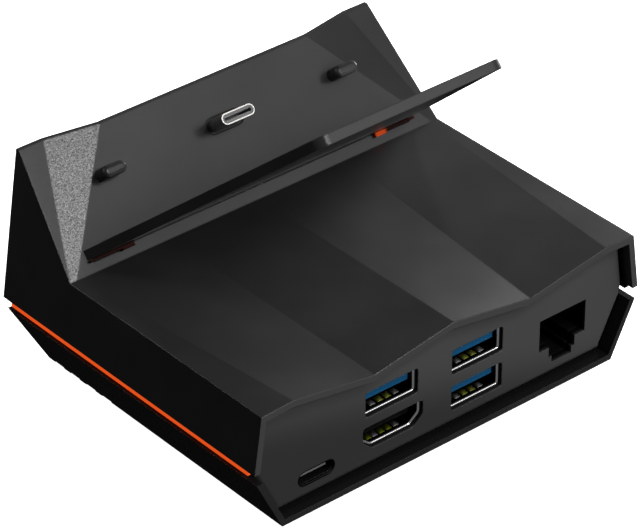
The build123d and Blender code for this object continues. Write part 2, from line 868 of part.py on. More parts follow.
# USB-A sockets: pressed shell with two springs, tongue and contacts
for usb_name, usb_x, usb_z in usb_places:
    usb_floor_z = usb_z - usb_height / 2 + usb_wall
    usb_roof_z = usb_z + usb_height / 2 - usb_wall
    tongue_low_z = usb_roof_z - usb_tongue_drop - usb_tongue_thick
    with BuildPart() as usb_shell:
        with BuildSketch(across(port_face_y)):
            with Locations((usb_x, usb_z)):
                RectangleRounded(usb_width, usb_height, usb_round)
        extrude(amount=usb_depth)
        with BuildSketch(across(port_face_y)):
            with Locations((usb_x, usb_z)):
                Rectangle(usb_width - 2 * usb_wall, usb_height - 2 * usb_wall)
        extrude(amount=usb_depth - usb_wall, mode=Mode.SUBTRACT)
        for spring_x in (usb_x - usb_spring_x, usb_x + usb_spring_x):
            spring_y = port_face_y - usb_spring_start
            with BuildSketch(Plane.YZ.offset(spring_x)):
                with BuildLine():
                    Polyline(
                        (spring_y, usb_floor_z - usb_wall / 2),
                        (spring_y - usb_spring_length / 3, usb_floor_z + usb_spring_height),
                        (spring_y - usb_spring_length, usb_floor_z - usb_wall / 2),
                        close=True,
                    )
                make_face()
            extrude(amount=usb_spring_width / 2, both=True)
    usb_shell.part.label = f"usb_shell_{usb_name}"
    export_step(usb_shell.part, f"parts/usb_shell_{usb_name}.step")
    with BuildPart() as usb_tongue:
        with BuildSketch(across(usb_back_y + usb_wall + block_gap)):
            with Locations((usb_x, usb_z)):
                Rectangle(
                    usb_width - 2 * (usb_wall + block_gap), usb_height - 2 * (usb_wall + block_gap)
                )
        extrude(amount=-usb_tongue_root)
        with BuildSketch(across(usb_back_y + usb_wall + usb_tongue_root)):
            with Locations((usb_x, tongue_low_z)):
                Rectangle(usb_tongue_width, usb_tongue_thick, align=(Align.CENTER, Align.MIN))
        extrude(amount=-(usb_depth - usb_wall - usb_tongue_root - usb_tongue_setback))
    usb_tongue.part.label = f"usb_tongue_{usb_name}"
    export_step(usb_tongue.part, f"parts/usb_tongue_{usb_name}.step")
    with BuildPart() as usb_contacts:
        with BuildSketch(across(port_face_y - 2 * usb_tongue_setback)):
            with Locations((usb_x, tongue_low_z - usb_contact_thick / 2)):
                with GridLocations(usb_contact_pitch, 0, usb_contact_count, 1):
                    Rectangle(usb_contact_width, usb_contact_thick)
        extrude(amount=usb_contact_length)
    usb_contacts.part.label = f"usb_contacts_{usb_name}"
    export_step(usb_contacts.part, f"parts/usb_contacts_{usb_name}.step")

# Blocks that stand on the board and carry the USB-A sockets
shelf_high_z = usb_upper_z - usb_height / 2 - block_gap
port_blocks = [
    ("usb_riser", usb_left_x, hdmi_x, hdmi_foot_width, hdmi_z, hdmi_height),
    ("usb_stack_body", usb_right_x, usb_right_x, usb_width, usb_lower_z, usb_height),
]
for block_name, block_x, under_x, under_width, under_z, under_height in port_blocks:
    with BuildPart() as port_block:
        with BuildSketch(across(usb_back_y - block_gap)):
            with Locations((block_x, board_top_z)):
                Rectangle(
                    block_width,
                    usb_upper_z + usb_height / 2 - board_top_z,
                    align=(Align.CENTER, Align.MIN),
                )
        extrude(amount=block_depth)
        with BuildSketch(across(shelf_front_y)):
            shelf_low_z = under_z + under_height / 2 + block_gap
            with Locations((block_x, shelf_low_z)):
                Rectangle(block_width, shelf_high_z - shelf_low_z, align=(Align.CENTER, Align.MIN))
            base_high_z = under_z - under_height / 2 - block_gap
            with Locations((under_x, board_top_z)):
                Rectangle(under_width, base_high_z - board_top_z, align=(Align.CENTER, Align.MIN))
        extrude(amount=shelf_front_y - usb_back_y + block_gap)
    port_block.part.label = block_name
    export_step(port_block.part, f"parts/{block_name}.step")

# HDMI socket
with BuildPart() as hdmi_shell:
    extrude(hdmi_face(port_face_y, 0), amount=hdmi_depth)
    extrude(hdmi_face(port_face_y, -hdmi_wall), amount=hdmi_depth - hdmi_wall, mode=Mode.SUBTRACT)
hdmi_shell.part.label = "hdmi_shell"
export_step(hdmi_shell.part, "parts/hdmi_shell.step")

hdmi_back_y = port_face_y - hdmi_depth + hdmi_wall
with BuildPart() as hdmi_tongue:
    extrude(hdmi_face(hdmi_back_y + block_gap, -hdmi_wall - block_gap), amount=-hdmi_tongue_root)
    with BuildSketch(across(hdmi_back_y + hdmi_tongue_root)):
        with Locations((hdmi_x, hdmi_z)):
            Rectangle(hdmi_tongue_width, hdmi_tongue_thick)
    extrude(amount=-(hdmi_depth - hdmi_wall - hdmi_tongue_root - hdmi_tongue_setback))
hdmi_tongue.part.label = "hdmi_tongue"
export_step(hdmi_tongue.part, "parts/hdmi_tongue.step")

with BuildPart() as hdmi_contacts:
    with BuildSketch(across(port_face_y - 2 * hdmi_tongue_setback)):
        for contact_side in (1, -1):
            contact_z = hdmi_z + contact_side * (hdmi_tongue_thick + hdmi_contact_thick) / 2
            with Locations((hdmi_x, contact_z)):
                with GridLocations(hdmi_contact_pitch, 0, hdmi_contact_count, 1):
                    Rectangle(hdmi_contact_width, hdmi_contact_thick)
    extrude(amount=hdmi_contact_length)
hdmi_contacts.part.label = "hdmi_contacts"
export_step(hdmi_contacts.part, "parts/hdmi_contacts.step")

# USB-C socket on two legs, its front end in the pocket behind the panel's oblong opening
with BuildPart() as usb_c_socket_shell:
    with BuildSketch(across(usb_c_front_y)):
        with Locations((usb_c_x, usb_c_z)):
            SlotOverall(usb_c_width, usb_c_height)
    extrude(amount=usb_c_depth)
    with BuildSketch(across(usb_c_front_y - usb_c_depth / 2)):
        with Locations(
            (usb_c_x + usb_c_width / 2 - usb_c_wall, board_top_z),
            (usb_c_x - usb_c_width / 2 + usb_c_wall, board_top_z),
        ):
            Rectangle(2 * usb_c_wall, usb_c_z - board_top_z, align=(Align.CENTER, Align.MIN))
    extrude(amount=usb_c_leg_length)
    with BuildSketch(across(usb_c_front_y)):
        with Locations((usb_c_x, usb_c_z)):
            SlotOverall(usb_c_width - 2 * usb_c_wall, usb_c_height - 2 * usb_c_wall)
    extrude(amount=usb_c_depth - usb_c_wall, mode=Mode.SUBTRACT)
usb_c_socket_shell.part.label = "usb_c_socket_shell"
export_step(usb_c_socket_shell.part, "parts/usb_c_socket_shell.step")

usb_c_back_y = usb_c_front_y - usb_c_depth + usb_c_wall
with BuildPart() as usb_c_socket_tongue:
    with BuildSketch(across(usb_c_back_y + block_gap)):
        with Locations((usb_c_x, usb_c_z)):
            SlotOverall(
                usb_c_width - 2 * (usb_c_wall + block_gap), usb_c_height - 2 * (usb_c_wall + block_gap)
            )
    extrude(amount=-usb_c_tongue_root)
    with BuildSketch(across(usb_c_back_y + usb_c_tongue_root)):
        with Locations((usb_c_x, usb_c_z)):
            Rectangle(usb_c_tongue_width, usb_c_tongue_thick)
    extrude(amount=-(usb_c_depth - usb_c_wall - usb_c_tongue_root - usb_c_tongue_setback))
usb_c_socket_tongue.part.label = "usb_c_socket_tongue"
export_step(usb_c_socket_tongue.part, "parts/usb_c_socket_tongue.step")

# Network socket and its spring contacts
with BuildPart() as network_jack:
    with BuildSketch(across(shelf_front_y)):
        with Locations((jack_x, board_top_z)):
            Rectangle(
                jack_width,
                jack_mouth_high_z + jack_roof - board_top_z,
                align=(Align.CENTER, Align.MIN),
            )
    extrude(amount=jack_depth)
    extrude(jack_face(shelf_front_y, 0), amount=jack_mouth_depth, mode=Mode.SUBTRACT)
network_jack.part.label = "network_jack"
export_step(network_jack.part, "parts/network_jack.step")

contact_front_y = shelf_front_y - jack_contact_front
contact_top_z = jack_mouth_high_z - jack_contact_gap
with BuildPart() as network_contacts:
    with BuildSketch(Plane.YZ.offset(jack_x)) as contact_profile:
        with BuildLine():
            Polyline(
                (contact_front_y, contact_top_z),
                (contact_front_y - jack_contact_length, contact_top_z - jack_contact_drop),
                (
                    contact_front_y - jack_contact_length,
                    contact_top_z - jack_contact_drop - jack_contact_thick,
                ),
                (contact_front_y, contact_top_z - jack_contact_thick),
                close=True,
            )
        make_face()
    for step in range(jack_contact_count):
        contact_x = (step - (jack_contact_count - 1) / 2) * jack_contact_pitch
        with Locations((contact_x, 0, 0)):
            add(extrude(contact_profile.sketch, amount=jack_contact_width / 2, both=True, mode=Mode.PRIVATE))
network_contacts.part.label = "network_contacts"
export_step(network_contacts.part, "parts/network_contacts.step")

# Plug that goes into the console, held by a carrier on its own board behind the seat
with BuildPart() as plug_shell:
    with BuildSketch(on_seat(plug_up, -plug_root)):
        SlotOverall(plug_width, plug_thick)
    extrude(amount=plug_root + plug_reach)
    with BuildSketch(on_seat(plug_up, plug_wall - plug_root)):
        SlotOverall(plug_width - 2 * plug_wall, plug_thick - 2 * plug_wall)
    extrude(amount=plug_root + plug_reach, mode=Mode.SUBTRACT)
plug_shell.part.label = "plug_shell"
export_step(plug_shell.part, "parts/plug_shell.step")

with BuildPart() as plug_core:
    with BuildSketch(on_seat(plug_up, plug_wall - plug_root)):
        SlotOverall(
            plug_width - 2 * (plug_wall + plug_gap), plug_thick - 2 * (plug_wall + plug_gap)
        )
    extrude(amount=plug_root + plug_reach - plug_wall - plug_core_sink)
    with BuildSketch(on_seat(plug_up, plug_reach - plug_slot_depth)):
        SlotOverall(plug_slot_width, plug_slot_thick)
    extrude(amount=plug_slot_depth, mode=Mode.SUBTRACT)
plug_core.part.label = "plug_core"
export_step(plug_core.part, "parts/plug_core.step")

with BuildPart() as plug_contacts:
    with BuildSketch(on_seat(plug_up, plug_reach - plug_contact_sink)):
        contact_shift = (plug_slot_thick - plug_contact_thick) / 2
        for contact_side in (1, -1):
            with Locations((0, contact_side * contact_shift)):
                with GridLocations(plug_contact_pitch, 0, plug_contact_count, 1):
                    Rectangle(plug_contact_width, plug_contact_thick)
    extrude(amount=-plug_contact_length)
plug_contacts.part.label = "plug_contacts"
export_step(plug_contacts.part, "parts/plug_contacts.step")

with BuildPart() as plug_carrier:
    with BuildSketch(on_seat(plug_up, -seat_wall - carrier_thick)):
        Rectangle(carrier_width, carrier_height)
    extrude(amount=carrier_thick - block_gap)
    with BuildSketch(on_seat(plug_up, -seat_wall - carrier_thick)):
        SlotOverall(plug_width + 2 * carrier_nose, plug_thick + 2 * carrier_nose)
    extrude(amount=carrier_thick + seat_wall - carrier_sink)
    with BuildSketch(on_seat(plug_up, -plug_root - block_gap)):
        SlotOverall(plug_width + 2 * plug_gap, plug_thick + 2 * plug_gap)
    extrude(amount=plug_root + cut_past, mode=Mode.SUBTRACT)
plug_carrier.part.label = "plug_carrier"
export_step(plug_carrier.part, "parts/plug_carrier.step")

plug_board_out = -seat_wall - carrier_thick - plug_board_thick
with BuildPart() as plug_board:
    with BuildSketch(on_seat(plug_board_low, plug_board_out)):
        Rectangle(
            plug_board_width, plug_board_high - plug_board_low, align=(Align.CENTER, Align.MIN)
        )
        with Locations(
            (plug_screw_x, plug_screw_up - plug_board_low), (-plug_screw_x, plug_screw_up - plug_board_low)
        ):
            Circle(plug_screw_diameter / 2 + fit_gap, mode=Mode.SUBTRACT)
    extrude(amount=plug_board_thick)
plug_board.part.label = "plug_board"
export_step(plug_board.part, "parts/plug_board.step")

# Flat cable between the boards, and the socket at each of its ends
with BuildPart() as cable_sockets:
    with BuildSketch(on_seat(socket_up, plug_board_out)):
        Rectangle(socket_width, socket_length)
    extrude(amount=-socket_height)
    with BuildSketch(level(board_top_z)):
        with Locations((0, socket_board_y)):
            Rectangle(socket_width, socket_length, align=(Align.CENTER, Align.MIN))
    extrude(amount=socket_height)
cable_sockets.part.label = "cable_sockets"
export_step(cable_sockets.part, "parts/cable_sockets.step")

cable_start = on_seat(socket_up - socket_length / 2, plug_board_out - socket_height / 2).origin
cable_turn = on_seat(
    socket_up - socket_length / 2 - cable_slope_run, plug_board_out - socket_height / 2
).origin
cable_level_z = board_top_z + socket_height / 2
with BuildPart() as link_cable:
    with BuildSketch(Plane.YZ):
        with BuildLine() as cable_route:
            FilletPolyline(
                (cable_start.Y, cable_start.Z),
                (cable_turn.Y, cable_turn.Z),
                (socket_board_y - cable_level_run, cable_level_z),
                (socket_board_y, cable_level_z),
                radius=cable_bend,
            )
        trace(line_width=cable_thick)
    extrude(amount=cable_width / 2, both=True)
link_cable.part.label = "link_cable"
export_step(link_cable.part, "parts/link_cable.step")

# Back-rest: a tapering plate that stands square on the seat, with a tab through the seat
with BuildPart() as backrest:
    with BuildSketch(square_to_seat(rest_up)):
        with BuildLine():
            Polyline(
                *mirrored(
                    [
                        (rest_free_x, rest_reach),
                        (rest_root_x, 0),
                        (rest_tab_x, 0),
                        (rest_tab_x, -rest_tab_depth),
                    ]
                ),
                close=True,
            )
        make_face()
        fillet(vertices().group_by(Axis.Y)[-1], radius=rest_corner)
    extrude(amount=rest_thick / 2, both=True)
backrest.part.label = "backrest"
export_step(backrest.part, "parts/backrest.step")

# Clips that wedge the back-rest in its slot, each with a thin flange on the seat's face
for clip_name, side in (("backrest_clip_left", 1), ("backrest_clip_right", -1)):
    with BuildPart() as backrest_clip:
        with BuildSketch(square_to_seat(rest_up + clip_drop)):
            with Locations((side * clip_x, 0)):
                Rectangle(clip_outer_x - clip_inner_x, clip_reach, align=(Align.CENTER, Align.MIN))
                Rectangle(clip_stem_width, clip_stem_depth, align=(Align.CENTER, Align.MAX))
            fillet(vertices().group_by(Axis.Y)[-1], radius=clip_round)
        extrude(amount=clip_thick / 2, both=True)
        # Thicker head at the clip's inner end
        with BuildSketch(square_to_seat(rest_up + clip_head_drop)):
            with Locations((side * clip_head_x, 0)):
                Rectangle(clip_head_width, clip_reach, align=(Align.CENTER, Align.MIN))
            fillet(vertices().group_by(Axis.Y)[-1], radius=clip_round)
        extrude(amount=-clip_head_thick)
    backrest_clip.part.label = clip_name
    export_step(backrest_clip.part, f"parts/{clip_name}.step")

# Screws
with BuildPart() as case_screws:
    with BuildSketch(level(case_seat_z - case_head_height)):
        with Locations(*case_places):
            Circle(case_head_diameter / 2)
    extrude(amount=case_head_height)
    with BuildSketch(level(case_seat_z)):
        with Locations(*case_places):
            Circle(case_screw_diameter / 2)
    extrude(amount=case_screw_length)
    with BuildSketch(level(case_seat_z - case_head_height)):
        with Locations(*case_places):
            RegularPolygon(drive_diameter / 2, drive_sides)
    extrude(amount=drive_depth, mode=Mode.SUBTRACT)
case_screws.part.label = "case_screws"
export_step(case_screws.part, "parts/case_screws.step")

with BuildPart() as board_screws:
    with BuildSketch(level(board_top_z)):
        with Locations(*board_screw_places):
            Circle(board_head_diameter / 2)
    extrude(amount=board_head_height)
    with BuildSketch(level(board_top_z)):
        with Locations(*board_screw_places):
            Circle(board_screw_diameter / 2)
    extrude(amount=-board_screw_length)
board_screws.part.label = "board_screws"
export_step(board_screws.part, "parts/board_screws.step")

with BuildPart() as plug_screws:
    with BuildSketch(on_seat(plug_screw_up, plug_board_out)):
        with Locations((plug_screw_x, 0), (-plug_screw_x, 0)):
            Circle(plug_head_diameter / 2)
    extrude(amount=-plug_head_height)
    with BuildSketch(on_seat(plug_screw_up, plug_board_out)):
        with Locations((plug_screw_x, 0), (-plug_screw_x, 0)):
            Circle(plug_screw_diameter / 2)
    extrude(amount=plug_screw_length)
plug_screws.part.label = "plug_screws"
export_step(plug_screws.part, "parts/plug_screws.step")
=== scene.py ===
"""Looks of the handheld console dock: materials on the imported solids, small details, light and camera."""
import json
from math import cos, pi, sin

import bpy
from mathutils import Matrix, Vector


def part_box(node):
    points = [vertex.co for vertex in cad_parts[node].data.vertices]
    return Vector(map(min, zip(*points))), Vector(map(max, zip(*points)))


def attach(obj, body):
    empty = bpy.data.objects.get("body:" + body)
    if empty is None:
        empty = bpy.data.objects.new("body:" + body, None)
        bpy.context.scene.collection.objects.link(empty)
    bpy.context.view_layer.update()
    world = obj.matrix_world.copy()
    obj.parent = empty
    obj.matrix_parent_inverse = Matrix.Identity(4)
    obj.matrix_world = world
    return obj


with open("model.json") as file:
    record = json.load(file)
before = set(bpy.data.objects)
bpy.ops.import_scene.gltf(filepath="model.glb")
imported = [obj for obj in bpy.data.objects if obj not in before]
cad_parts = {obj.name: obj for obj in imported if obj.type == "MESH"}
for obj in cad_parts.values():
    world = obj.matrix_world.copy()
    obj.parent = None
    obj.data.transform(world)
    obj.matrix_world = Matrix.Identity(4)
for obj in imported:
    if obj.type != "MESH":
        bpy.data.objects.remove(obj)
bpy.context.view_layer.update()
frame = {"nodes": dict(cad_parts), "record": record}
scene = bpy.context.scene
nodes = frame["nodes"]

# Ways in the shared frame
LEFTWARD = (1.0, 0.0, 0.0)
REARWARD = (0.0, 1.0, 0.0)
UPWARD = (0.0, 0.0, 1.0)

# Camera, as solved from the photograph
CAMERA_PLACE = (0.41945, 0.49552, 0.45118)
CAMERA_LOOK = (-0.5389, -0.6371, -0.5510)
CAMERA_LENS = 218.46
CAMERA_SENSOR = 36.0
CAMERA_NEAR = 0.01

# Lights round the dock
LIGHT_AIM = (0.0, 0.0, 0.03)
LIGHTS = [
    # name, azimuth, elevation, distance, size, power
    ("rear_low", 197.0, 14.0, 0.7, 0.16, 1.05),
    ("rear_right", 236.0, 14.0, 0.7, 0.16, 0.09),
    ("rear_high", 184.0, 40.0, 0.7, 0.16, 0.8),
    ("key", 197.0, 53.0, 0.7, 0.16, 0.6),
    ("key_right", 206.0, 51.0, 0.7, 0.16, 0.64),
    ("seat_left", 210.0, 40.0, 0.7, 0.16, 0.08),
    ("seat_fill", 223.0, 40.0, 0.7, 0.16, 0.115),
    ("seat_low", 221.0, 25.0, 0.7, 0.2, 0.34),
    ("deck_fill", 200.0, 28.0, 0.7, 0.3, 0.65),
    ("right_edge", 283.0, 6.0, 0.32, 0.1, 0.35),
    ("deck_edge", 295.0, 16.0, 0.32, 0.1, 0.05),
    ("right_low", 296.0, 8.0, 0.7, 0.16, 0.04),
    ("right_high", 310.0, 21.0, 0.7, 0.14, 0.014),
    ("front_high", 322.0, 44.0, 0.7, 0.16, 0.02),
    ("front_mid", 322.0, 32.0, 0.7, 0.16, 0.013),
    ("left_fill", 80.0, 30.0, 0.7, 0.3, 0.3),
    ("left_edge", 41.0, 33.0, 0.7, 0.16, 0.7),
    ("right_wide", 286.0, 10.0, 0.7, 0.4, 18.0),
]

# Lights that no surface mirrors
MATT_LIGHTS = ["right_wide"]
WORLD_STRENGTH = 0.006

# Noise of all materials: the part of its range in use, its mean, and the fineness of tone and grain
NOISE_LOW = 0.3
NOISE_HIGH = 0.7
NOISE_MEAN = 0.5
TONE_STOPS = (0.35, 0.65)
TONE_SCALE = 60.0
GRAIN_DETAIL = 2.0
BUMP_STRENGTH = 1.0

# Worn edges, with the lowest rise of a normal that an edge may turn to
EDGE_SAMPLES = 4
LEAST_RISE = -0.05

# Tones that several materials share, dark and light
WHITE = (1.0, 1.0, 1.0)
ORANGE = ((0.80, 0.085, 0.014), (0.88, 0.11, 0.02))
NICKEL = ((0.62, 0.61, 0.59), (0.72, 0.71, 0.69))

# Fine sparkle of the shell, seen on faces that look to the left and mirror a light
SPARKLE_SCALE = 3600.0
SPARKLE_DETAIL = 1.0
SPARKLE_LOW = 0.12
SPARKLE_HIGH = 0.48
SPARKLE_FACING = 0.04
SPARKLE_FACING_END = 0.10

# Rear rim of the upper shell: painted light, a lighter tone like the panel's on faces that look to the rear
RIM_PAINTED_LIGHT = (0.072, 0.072, 0.072)
RIM_FACING = 0.97
RIM_FACING_END = 0.90

# Inside of the lower shell's rim: painted shade, dark where it looks up
LEDGE_PAINTED_SHADE = (0.006, 0.006, 0.006)
LEDGE_FACING = 0.4
LEDGE_FACING_END = 0.2

# Panel: painted shade, a little darker towards its lower left corner
PANEL_PAINTED_SHADE = (0.034, 0.034, 0.034)
PANEL_WAY = (-0.25, 0.0, 1.0)
PANEL_FADE_START = 0.005
PANEL_FADE_END = 0.019

# Strips: the left one glows, painted light though it is no lamp; the rear end of the right one is darkened, a
# painted shadow of the shell
STRIP_PAINTED_GLOW = (0.83, 0.088, 0.012)
STRIP_PAINTED_GLOW_STRENGTH = 0.8
STRIP_PAINTED_SHADE = (0.012, 0.003, 0.002)
STRIP_FADE_START = 3e-3
STRIP_FADE_END = 6e-3

# Clips of the back-rest: painted shade, dark as in the plate's shadow
CLIP_PAINTED_SHADE_DARK = (0.022, 0.004, 0.003)
CLIP_PAINTED_SHADE_LIGHT = (0.028, 0.005, 0.003)
CLIP_FADE_START = 3.4e-3
CLIP_FADE_END = 2.2e-3

# Metal sockets: painted shade darkens them behind their mouths, and their rolled lips glow a little, a painted
# highlight
MOUTHS = ["usb_shell_upper_left", "usb_shell_upper_right", "usb_shell_lower_right", "hdmi_shell"]
MOUTH_WALL = 0.35e-3
MOUTH_ROUND = 0.6e-3
MOUTH_LIP = 0.21e-3
LIP_PAINTED_GLINT_STRENGTH = 0.10
HDMI_FOOT_INSET = 2.4e-3
HDMI_SHOULDER = 2.0e-3
SOCKET_FADE = 0.5e-3
SOCKET_PAINTED_SHADE = (0.03, 0.03, 0.028)

# Cut-outs of the panel round the metal sockets
CUTOUT_GAP = 0.2e-3
CUTOUT_CORNER = 0.1e-3
CORNER_ROUND = 0.9e-3
# Dark sheets on the walls of the cut-outs, painted shade: their thickness, and how far behind the mouths they
# reach
SHADE_LINER_THICK = 0.08e-3
SHADE_LINER_BACK = 0.4e-3
BEZEL_SETBACK = 0.02e-3
BEZEL_THICK = 0.08e-3

# Network socket: its middle, and one half of its stepped outline (x from the middle, z)
JACK_X = -31.9e-3
JACK_HALF = [
    (5.9e-3, 16.2e-3), (5.9e-3, 9.4e-3), (3.2e-3, 9.4e-3),
    (3.2e-3, 7.05e-3), (2.35e-3, 7.05e-3), (2.35e-3, 5.6e-3),
]
JACK_GAP = 0.35e-3
JACK_CORNER = 0.05e-3

# USB-C opening: place (x, z), width and height, and the dark edge round it
USB_C_PLACE = (32.5e-3, 7.2e-3)
USB_C_MOUTH = (9.0e-3, 2.8e-3)
USB_C_GROW = (0.2e-3, 0.42e-3)
USB_C_DROP = 0.1e-3
USB_C_PROUD = 0.02e-3
USB_C_BACK = 0.3e-3

# Contacts and springs on the floors of the metal sockets: place from the middle, kind
SPOT_DEPTH = 1.9e-3
SPOT_HALF_WIDTH = 0.8e-3
SPOT_HALF_LENGTH = 0.9e-3
SPOT_HEIGHT = 0.35e-3
USB_SPOTS = [(-3.0e-3, "steel"), (-1.0e-3, "gold"), (1.0e-3, "gold"), (3.0e-3, "steel")]
HDMI_SPOTS = [
    (-2.7e-3, "steel_painted_deeper_shade"), (-0.9e-3, "gold_painted_deeper_shade"), (0.9e-3, "gold_painted_deeper_shade"),
    (2.7e-3, "steel_painted_deeper_shade"), (4.2e-3, "gold_painted_deeper_shade"),
]

# Fineness of the curves
ARC_STEPS = 6
TUBE_SIDES = 12
OBLONG_STEPS = 10
SPOT_STEPS = 8

# Floor
FLOOR_RADIUS = 2.2
FLOOR_SWEEP = 1.2
FLOOR_WALL = 2.4
FLOOR_STEPS = 12
FLOOR_SIDES = 96
FLOOR_DARK = (0.78, 0.78, 0.78)
FLOOR_LIGHT = (0.80, 0.80, 0.80)
FLOOR_SCALE = 3.0
FLOOR_DETAIL = 1.0
FLOOR_ROUGHNESS = 0.9
FLOOR_GLOW_STRENGTH = 1.0


def around(azimuth, elevation, distance):
    """Point at a distance from the middle of the dock; azimuth 0 is in front, 90 at +X, 180 at the ports."""
    turn, rise = azimuth * pi / 180, elevation * pi / 180
    out = Vector((sin(turn) * cos(rise), -cos(turn) * cos(rise), sin(rise)))
    return Vector(LIGHT_AIM) + out * distance


def aim(thing, target):
    """Turn a light or camera to look at a point."""
    thing.rotation_euler = (Vector(target) - thing.location).to_track_quat("-Z", "Y").to_euler()


def grey(value):
    """Tone without a hue."""
    return (value, value, value)


def new_material(name):
    """A material with its node tree and its shader."""
    material = bpy.data.materials.new(name)
    material.use_nodes = True
    return material, material.node_tree, material.node_tree.nodes["Principled BSDF"]


def noise(tree, scale, detail):
    """Noise that is fixed to the object, in metres."""
    place = tree.nodes.new("ShaderNodeTexCoord")
    texture = tree.nodes.new("ShaderNodeTexNoise")
    texture.inputs["Scale"].default_value = scale
    texture.inputs["Detail"].default_value = detail
    tree.links.new(place.outputs["Object"], texture.inputs["Vector"])
    return texture.outputs["Fac"]


def between(tree, value, low, high):
    """Spread a noise over a range."""
    spread = tree.nodes.new("ShaderNodeMapRange")
    spread.inputs["From Min"].default_value = NOISE_LOW
    spread.inputs["From Max"].default_value = NOISE_HIGH
    spread.inputs["To Min"].default_value = low
    spread.inputs["To Max"].default_value = high
    tree.links.new(value, spread.inputs["Value"])
    return spread.outputs["Result"]


def two_tone(tree, value, dark, light):
    """Colour that wanders between two tones."""
    ramp = tree.nodes.new("ShaderNodeValToRGB")
    for stop, position, tone in zip(ramp.color_ramp.elements, TONE_STOPS, (dark, light)):
        stop.position = position
        stop.color = (*tone, 1.0)
    tree.links.new(value, ramp.inputs["Fac"])
    return ramp.outputs["Color"]


def worn_edges(tree, radius):
    """Normal that turns over rounded edges, but not down under an overhang."""
    bevel = tree.nodes.new("ShaderNodeBevel")
    bevel.samples = EDGE_SAMPLES
    bevel.inputs["Radius"].default_value = radius
    parts = tree.nodes.new("ShaderNodeSeparateXYZ")
    tree.links.new(bevel.outputs["Normal"], parts.inputs["Vector"])
    upward = tree.nodes.new("ShaderNodeMath")
    upward.operation = "GREATER_THAN"
    upward.inputs[1].default_value = LEAST_RISE
    tree.links.new(parts.outputs["Z"], upward.inputs[0])
    plain = tree.nodes.new("ShaderNodeNewGeometry")
    choice = tree.nodes.new("ShaderNodeMix")
    choice.data_type = "VECTOR"
    tree.links.new(upward.outputs["Value"], choice.inputs["Factor"])
    tree.links.new(plain.outputs["Normal"], choice.inputs["A"])
    tree.links.new(bevel.outputs["Normal"], choice.inputs["B"])
    return choice.outputs["Result"]


def surface(name, dark, light, rough, grain, depth, edge, specular=0.5, metal=0.0):
    """Material with a wandering tone, a grain in its bump and roughness, and slightly worn edges."""
    material, tree, shader = new_material(name)
    shader.inputs["Metallic"].default_value = metal
    shader.inputs["Specular IOR Level"].default_value = specular
    tone = two_tone(tree, noise(tree, TONE_SCALE, GRAIN_DETAIL), dark, light)
    tree.links.new(tone, shader.inputs["Base Color"])
    fine = noise(tree, grain, GRAIN_DETAIL)
    tree.links.new(between(tree, fine, *rough), shader.inputs["Roughness"])
    bump = tree.nodes.new("ShaderNodeBump")
    bump.inputs["Strength"].default_value = BUMP_STRENGTH
    bump.inputs["Distance"].default_value = depth
    tree.links.new(fine, bump.inputs["Height"])
    if edge:
        tree.links.new(worn_edges(tree, edge), bump.inputs["Normal"])
    tree.links.new(bump.outputs["Normal"], shader.inputs["Normal"])
    return material


def glow(material, colour, strength):
    """Let a material shine a little by itself: painted light on the left strip and the socket lips, and the even
    glow of the floor.
    """
    shader = material.node_tree.nodes["Principled BSDF"]
    shader.inputs["Emission Color"].default_value = (*colour, 1.0)
    shader.inputs["Emission Strength"].default_value = strength


def fade_along(tree, vector, way, start, end):
    """Value that is 0 where a vector reaches the start along a way, and 1 where it reaches the end."""
    reach = tree.nodes.new("ShaderNodeVectorMath")
    reach.operation = "DOT_PRODUCT"
    reach.inputs[1].default_value = way
    tree.links.new(vector, reach.inputs[0])
    fade = tree.nodes.new("ShaderNodeMapRange")
    fade.interpolation_type = "SMOOTHSTEP"
    fade.inputs["From Min"].default_value = start
    fade.inputs["From Max"].default_value = end
    tree.links.new(reach.outputs["Value"], fade.inputs["Value"])
    return fade.outputs["Result"]


def fade_to(material, way, start, end, colour, facing=False):
    """Let a material fade from its own tone, at the end place along a way, to a colour at the start place.

    With facing set, the fade follows the way that a face looks and not where it lies.
    """
    tree = material.node_tree
    shader = tree.nodes["Principled BSDF"]
    tone = shader.inputs["Base Color"].links[0].from_socket
    source = tree.nodes.new("ShaderNodeNewGeometry" if facing else "ShaderNodeTexCoord")
    fade = fade_along(tree, source.outputs["Normal" if facing else "Object"], way, start, end)
    mix = tree.nodes.new("ShaderNodeMix")
    mix.data_type = "RGBA"
    mix.inputs["A"].default_value = (*colour, 1.0)
    tree.links.new(fade, mix.inputs["Factor"])
    tree.links.new(tone, mix.inputs["B"])
    tree.links.new(mix.outputs["Result"], shader.inputs["Base Color"])


def sparkle(material):
    """Let the shine of a material change from grain to grain, on faces that look to the left."""
    tree = material.node_tree
    shader = tree.nodes["Principled BSDF"]
    source = tree.nodes.new("ShaderNodeNewGeometry")
    fade = fade_along(tree, source.outputs["Normal"], LEFTWARD, SPARKLE_FACING, SPARKLE_FACING_END)
    mix = tree.nodes.new("ShaderNodeMix")
    mix.inputs["A"].default_value = NOISE_MEAN
    tree.links.new(fade, mix.inputs["Factor"])
    tree.links.new(noise(tree, SPARKLE_SCALE, SPARKLE_DETAIL), mix.inputs["B"])
    shine = between(tree, mix.outputs["Result"], SPARKLE_LOW, SPARKLE_HIGH)
    tree.links.new(shine, shader.inputs["Specular IOR Level"])


